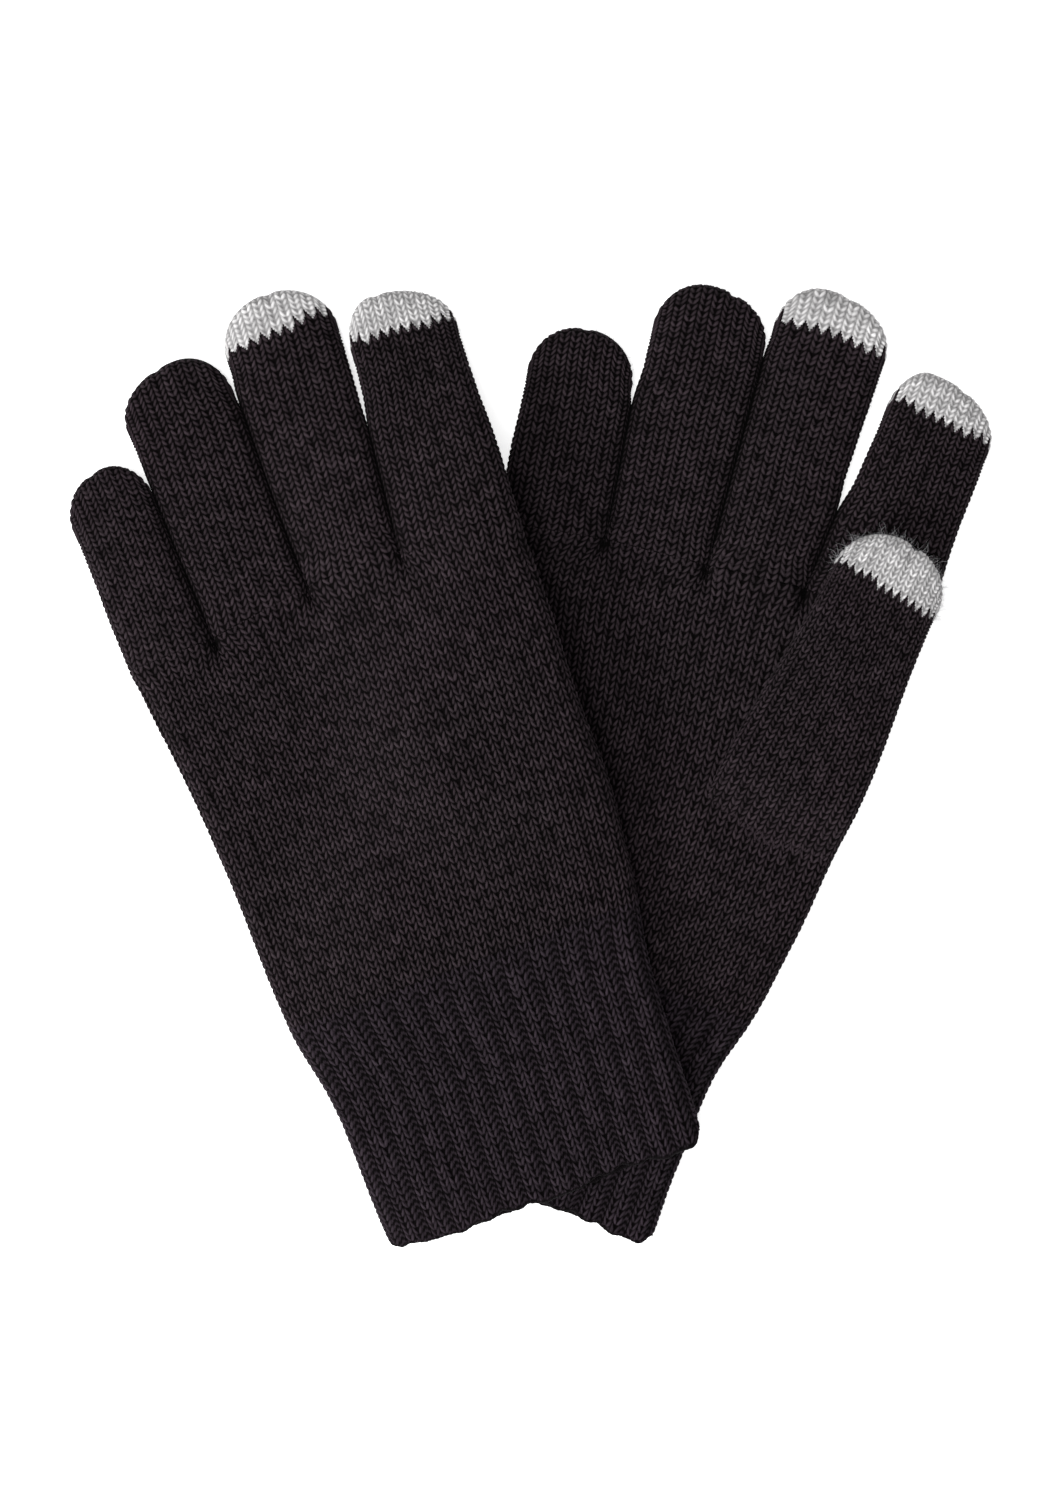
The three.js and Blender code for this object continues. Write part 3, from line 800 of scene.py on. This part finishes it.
def make_hand(glove, materials):
    wale, folded, sign = round_wales(HALF_WALES, FINE[0])
    course, length, inset, back, first_outer = hand_rows(front_length(glove))
    u, v, height = hand_points(glove, folded, sign, length, inset, back)
    rows, columns = u.shape
    row, column = np.arange(rows)[:, None], np.arange(columns)[None, :]
    wales, courses = np.broadcast_to(wale, u.shape), np.broadcast_to(course[:, None], u.shape)
    inside = np.broadcast_to(row < first_outer, u.shape)
    knit_seed, wave_seed = HAND_SEEDS[glove]
    knit, tone, rib = hand_knit(wales, np.broadcast_to(folded, u.shape), courses,
                                np.broadcast_to(length[:, None], u.shape), inside, knit_seed)
    # Painted light and shade: the stitches and ribs are lighter where they rise, darker in their valleys,
    # and darker still inside the mouth.
    shade = np.clip(knit + RIB_SHADE * rib * ~inside, 0, LIGHTEST) * np.where(inside, MOUTH_SHADE, 1)
    # Painted shade in the dimples at the crotches, where the stitches also flatten.
    shaded_dimple = sum(np.exp(-((u - at_u) / SHADED_DIMPLE[0]) ** 2 - ((v - at_v) / SHADED_DIMPLE[1]) ** 2)
                 for at_u, at_v in GLOVES[glove]["crotches"])
    points = place_cloth(glove, u, v, MIDDLE + sign * height)
    cloth = Cloth(points, shade * (1 - TOUCH_SHADE * shaded_dimple), tone, leg_place(wales, courses))
    wave = undulation(u, v, wave_seed) * (sign > 0)
    vertices = cloth.displaced(knit * RELIEF * (1 - shaded_dimple) + rib + wave - SINK)

    is_cuff = row < first_outer + CUFF_COURSES * FINE[1]
    is_upper = column < columns // 2
    last = row < rows - 1
    by_fold = np.minimum(folded, HALF_WALES - folded)[None, :] < EDGE_WALES
    for part, on, slot, nodes in (
            ("cuff", is_cuff, "rib_knit", ("cuff", "cuff_hem")),
            ("palm", ~is_cuff, "plain_knit", ("palm",))):
        for layer, which in (("upper", is_upper), ("under", ~is_upper)):
            piece = make_piece(f"{glove}_{part}_{layer}", cloth, vertices, on & which & last,
                               materials[slot], [f"{glove}_{node}" for node in nodes])
            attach(piece, f"{glove}_hand")
        fuzz = make_fuzz(f"{glove}_{part}_fuzz", cloth, vertices, on & last & by_fold,
                         materials["fibre"], EDGE_FUZZ, EDGE_REACH)
        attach(fuzz, f"{glove}_hand")


# ---------------------------------------------------------------- fingers and thumbs

def width_at(finger, along):
    return lerp(*finger["widths"], ease(along / (finger["length"] - TIP_LENGTH)))


def reach_to_touch(glove, index, side, along):
    """How much further a finger reaches on one side to touch its neighbour, and where it touches: 1 up
    to the place where they part, and 0 past it."""
    fingers = list(GLOVES[glove]["fingers"].values())
    if not 0 <= index + side < len(fingers):
        return np.zeros_like(along), np.zeros_like(along)
    finger, other = fingers[index], fingers[index + side]
    lean = math.radians(finger["lean"])
    ahead, across = (math.sin(lean), math.cos(lean)), (math.cos(lean), -math.sin(lean))
    further = sum((b - a) * part for a, b, part in zip(finger["root"], other["root"], ahead))

    def gap(at):
        own = finger_point(finger, at, side * width_at(finger, at) / 2)
        facing = finger_point(other, at - further, -side * width_at(other, at - further) / 2)
        return side * sum((b - a) * part for a, b, part in zip(own, facing, across))

    rooted = 1 - ease(along / ROOT_FADE)
    press = TOUCH_PRESS * ease(along / TOUCH_START)
    reach = (gap(along) - gap(np.zeros_like(along)) * rooted) / 2 + press
    parting = GLOVES[glove]["touching"][min(index, index + side)]
    together = 1 - ease((along - parting) / TOUCH_FADE)
    return reach * together, together


def tip_surface(finger, along, share, half, skin, reach):
    """Length, sideways place and height on a finger at skin lengths and shares of the way over it."""
    length = finger["length"]
    width = width_at(finger, along) + reach[0] + reach[1]
    sideways, height = half_round(share, width, half, FINGER_CROWN)
    place = np.clip(2 * sideways / width, -1, 1)
    sideways = sideways + (reach[1] - reach[0]) / 2
    off_apex = np.abs(place - finger["apex"]) / (1 - np.sign(place - finger["apex"]) * finger["apex"])
    short = TIP_LENGTH * (1 - (1 - off_apex ** TIP_POWER) ** (1 / TIP_POWER))
    dent = finger["dent"] * np.exp(-((place - finger["pinch"]) * width / 2 / DENT_WIDTH) ** 2)
    to_end = skin - along
    arc = math.pi * TIP_ROUND / 2
    turned = np.clip(to_end, 0, arc) / TIP_ROUND
    straight = length - TIP_ROUND * (1 - np.cos(turned)) - np.clip(to_end - arc, 0, None)
    start = length - PULL_LENGTH
    pulled = np.clip((straight - start) / (length - start), 0, 1) ** PULL_POWER
    dent = dent * np.exp(-((length - straight) / DENT_LENGTH) ** 2)
    return straight - short * pulled - dent, sideways, (height - dent) * np.sin(turned)


class Digit:
    """A finger or thumb: the grid of its skin, and its cloth once that is laid."""

    def __init__(self, glove, word, finger, fine, back):
        self.glove, self.word, self.finger = glove, word, finger
        self.per_wale, per_course = fine
        self.half_wales = finger["wales"] // 2
        self.skin = finger["length"] - TIP_ROUND + math.pi * TIP_ROUND / 2
        count = int(round(self.skin / FINGER_COURSE))
        course = np.arange(-int(round(back)), count * per_course + 1) / per_course
        wale, folded, sign = round_wales(self.half_wales, self.per_wale)
        shape = (len(course), len(wale))
        self.sign = sign
        self.wale, self.folded = np.broadcast_to(wale, shape), np.broadcast_to(folded, shape)
        self.course = np.broadcast_to(course[:, None], shape)
        self.along = np.broadcast_to((course * self.skin / count)[:, None], shape)

    def surface(self, share, half, reach):
        """Length, sideways place and height over the middle of the finger's upper half."""
        outside = np.maximum(self.along, 0)
        length, sideways, height = tip_surface(self.finger, outside, share, half, self.skin, reach)
        return length + np.minimum(self.along, 0), sideways, height

    def lay(self, points, u, v, seed, beside=0):
        """Knit the skin onto its points. Where it is beside a neighbour it has painted shade and is flat.
        """
        pitch = 2 * self.finger["widths"][0] / self.finger["wales"]
        knit, tone = stockinette(self.wale, self.course, pitch, seed)
        # Painted shade along the strips where the finger touches a neighbour.
        self.cloth = Cloth(points, knit * (1 - TOUCH_SHADE * beside), tone,
                           leg_place(self.wale, self.course))
        wave = undulation(u, v, seed) * (self.sign > 0)
        fade = ease((self.skin - self.along) / END_FADE)
        self.vertices = self.cloth.displaced((knit * RELIEF + wave - SINK) * fade * (1 - beside))
        rows = len(self.wale)
        self.last = np.arange(rows)[:, None] < rows - 1
        self.by_fold = np.minimum(self.folded, self.half_wales - self.folded) < EDGE_WALES
        self.near_end = self.along > self.skin - FUZZY_END

    def cap_stitches(self, length, share):
        """The stitches of the conductive cap: on each wale, those past the length at which it starts."""
        finger = self.finger
        if not finger["cap"]:
            return np.zeros(self.wale.shape, bool)
        middle = (np.floor(self.wale[0]) * self.per_wale + self.per_wale // 2).astype(int)
        past = length > finger["length"] - finger["cap"] - finger["slant"] * (2 * share - 1)
        first_row = np.argmax(past, axis=0)[middle]
        first_course = np.where(past.any(axis=0)[middle], np.round(self.course[first_row, 0]), np.inf)
        from_middle = np.abs(self.wale - np.floor(self.wale) - 0.5)
        return np.round(self.course - LEG_SLOPE * (from_middle - LEG_START)) >= first_course

    def piece(self, suffix, faces, materials, slot, node):
        name = f"{self.glove}_{self.word}"
        return make_piece(f"{name}{suffix}_skin", self.cloth, self.vertices, faces & self.last,
                          materials[slot], [f"{name}{node}"])

    def fuzz(self, suffix, faces, materials, share, reach):
        fibre, slot = ("pale_fibre", "conductive_knit") if suffix == "_tip" else ("fibre", "plain_knit")
        return make_fuzz(f"{self.glove}_{self.word}{suffix}_fuzz", self.cloth, self.vertices,
                         faces & self.last, materials[fibre], share, reach)

    def on_table(self, along, middle, thumb=False):
        """A place on the digit's middle line, in metres."""
        u, v = finger_point(self.finger, along, 0)
        x, y = to_table(self.glove, u, v)
        z = middle + float(lift(self.glove, np.array(u), np.array(v), thumb))
        return (x * MM, y * MM, z * MM)


def finger_share(glove, index, digit):
    """How far over a finger each of its wales is. At the root they follow the palm's wales."""
    crotch_wales = GLOVES[glove]["crotch_wales"]
    taken = crotch_wales[index + 1] - crotch_wales[index]
    extra = (digit.half_wales - taken) / 2
    rooted = np.clip((digit.folded - extra) / taken, 0, 1)
    return lerp(rooted, digit.folded / digit.half_wales, ease(digit.along / ROOT_EVEN))


def finger_touch(glove, index, digit):
    """How much further a finger reaches on its two sides, and how much each point is on a strip that
    touches a neighbour, from 0 to 1."""
    outside = np.maximum(digit.along, 0)
    sides = [reach_to_touch(glove, index, side, outside) for side in (-1, 1)]
    started = ease((digit.along - CREASE_START) / TOUCH_START)
    beside = np.zeros_like(digit.along)
    for (_, together), from_fold in zip(sides, (digit.folded, digit.half_wales - digit.folded)):
        beside += together * np.exp(-(from_fold / TOUCH_WALES) ** 2) * started
    return [reach for reach, _ in sides], beside


def make_finger(glove, name, index, materials):
    finger = GLOVES[glove]["fingers"][name]
    digit = Digit(glove, f"{name}_finger", finger, FINE, TUCK / FINGER_COURSE * FINE[1])
    share = finger_share(glove, index, digit)
    reach, beside = finger_touch(glove, index, digit)
    length, sideways, height = digit.surface(share, HALF, reach)
    u, v = rooted_point(glove, index, finger, length, sideways)
    tucked = np.where(digit.along < 0, TUCK_DEPTH, 0)
    w = MIDDLE + digit.sign * (height - np.minimum(tucked, height))
    seed = FINGER_SEEDS[glove] + SEED_STEP * index
    digit.lay(place_cloth(glove, u, v, w), u, v, seed, beside)

    joint = finger["length"] * MIDDLE_JOINT
    split = joint / 2
    cap = digit.cap_stitches(length, share)
    near = digit.along < split
    hand, end_body = f"{glove}_hand", f"{glove}_{name}_finger_end"
    base = digit.piece("_base", near & ~cap, materials, "plain_knit", "_base")
    end = digit.piece("_end", ~near & ~cap, materials, "plain_knit", "_end")
    if name in GLOVES[glove]["fixed_bases"]:
        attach(base, hand)
    else:
        digit.on_table(0, MIDDLE)
        digit.on_table(ROOT_BEND * split, MIDDLE)
        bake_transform(base)
    digit.on_table(joint - BEND, MIDDLE)
    digit.on_table(joint + BEND, MIDDLE)
    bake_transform(end)
    past_joint = digit.along > joint + BEND
    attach(digit.fuzz("", (digit.by_fold | digit.near_end) & ~cap & past_joint, materials, EDGE_FUZZ,
                       EDGE_REACH), end_body)
    if finger["cap"]:
        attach(digit.fuzz("_tip", cap & digit.near_end, materials, TIP_FUZZ, TIP_REACH), end_body)
        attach(digit.piece("_tip", cap, materials, "conductive_knit", "_tip"), end_body)


def make_thumb(glove, materials):
    """The right thumb grows out of the palm that it lies on. The left one is hidden under its palm."""
    hidden = glove == "left"
    fine = COARSE if hidden else FINE
    back = (TUCK / FINGER_COURSE if hidden else round(THUMB_BACK / FINGER_COURSE)) * fine[1]
    digit = Digit(glove, "thumb", THUMB, fine, back)
    half, middle = THUMB_HALF[glove], THUMB_MIDDLE[glove]
    share = digit.folded / digit.half_wales
    length, sideways, height = digit.surface(share, half, (0, 0))
    u, v = finger_point(THUMB, length, sideways)
    w = middle + digit.sign * height
    if not hidden:
        grown = ease((digit.along + THUMB_BACK) / (THUMB_BACK + THUMB_OUT))
        top = PALM_FACE - THUMB_SUNK - THUMB_SIDE_SUNK * (1 - height / half)
        w = lerp(np.where(digit.sign > 0, top, PALM_FACE - THUMB_UNDER_SUNK), w, grown)
    digit.lay(place_cloth(glove, u, v, w, thumb=hidden), u, v, THUMB_SEEDS[glove])

    cap = digit.cap_stitches(length, share)
    body = f"{glove}_thumb"
    if not hidden:
        fuzzy = cap & (digit.near_end | digit.by_fold)
        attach(digit.fuzz("_tip", fuzzy, materials, THUMB_FUZZ, THUMB_REACH), body)
    start, end = (digit.on_table(along, middle, thumb=hidden) for along in THUMB_BEND)
    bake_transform(digit.piece("", ~cap, materials, "plain_knit", ""))
    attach(digit.piece("_tip", cap, materials, "conductive_knit", "_tip"), body)


# ---------------------------------------------------------------- the scene

make_camera()
make_floor()
make_light()
# Each valley colour is the painted shade in the gaps between the stitches.
MATERIALS = {
    "plain_knit": knit_material("plain_knit", yarn=(0.0284, 0.0220, 0.0250),
                                valley_shade=(0.0008, 0.0003, 0.0004), tint=(0.0303, 0.0208, 0.0261),
                                roughness=0.92, sheen=0.01),
    "rib_knit": knit_material("rib_knit", yarn=(0.0248, 0.0190, 0.0239),
                              valley_shade=(0.0008, 0.0003, 0.0005), tint=(0.0270, 0.0192, 0.0256),
                              roughness=0.92, sheen=0.01),
    "conductive_knit": knit_material("conductive_knit", yarn=(0.595, 0.585, 0.587),
                                     valley_shade=(0.28, 0.275, 0.276), tint=(0.565, 0.555, 0.557),
                                     roughness=0.85, sheen=0.01),
    "fibre": fibre_material("fibre", (0.05, 0.036, 0.044)),
    "pale_fibre": fibre_material("pale_fibre", (0.3, 0.3, 0.31)),
}
for side in GLOVES:
    make_hand(side, MATERIALS)
    for order, finger_name in enumerate(GLOVES[side]["fingers"]):
        make_finger(side, finger_name, order, MATERIALS)
    make_thumb(side, MATERIALS)

bpy.context.view_layer.update()
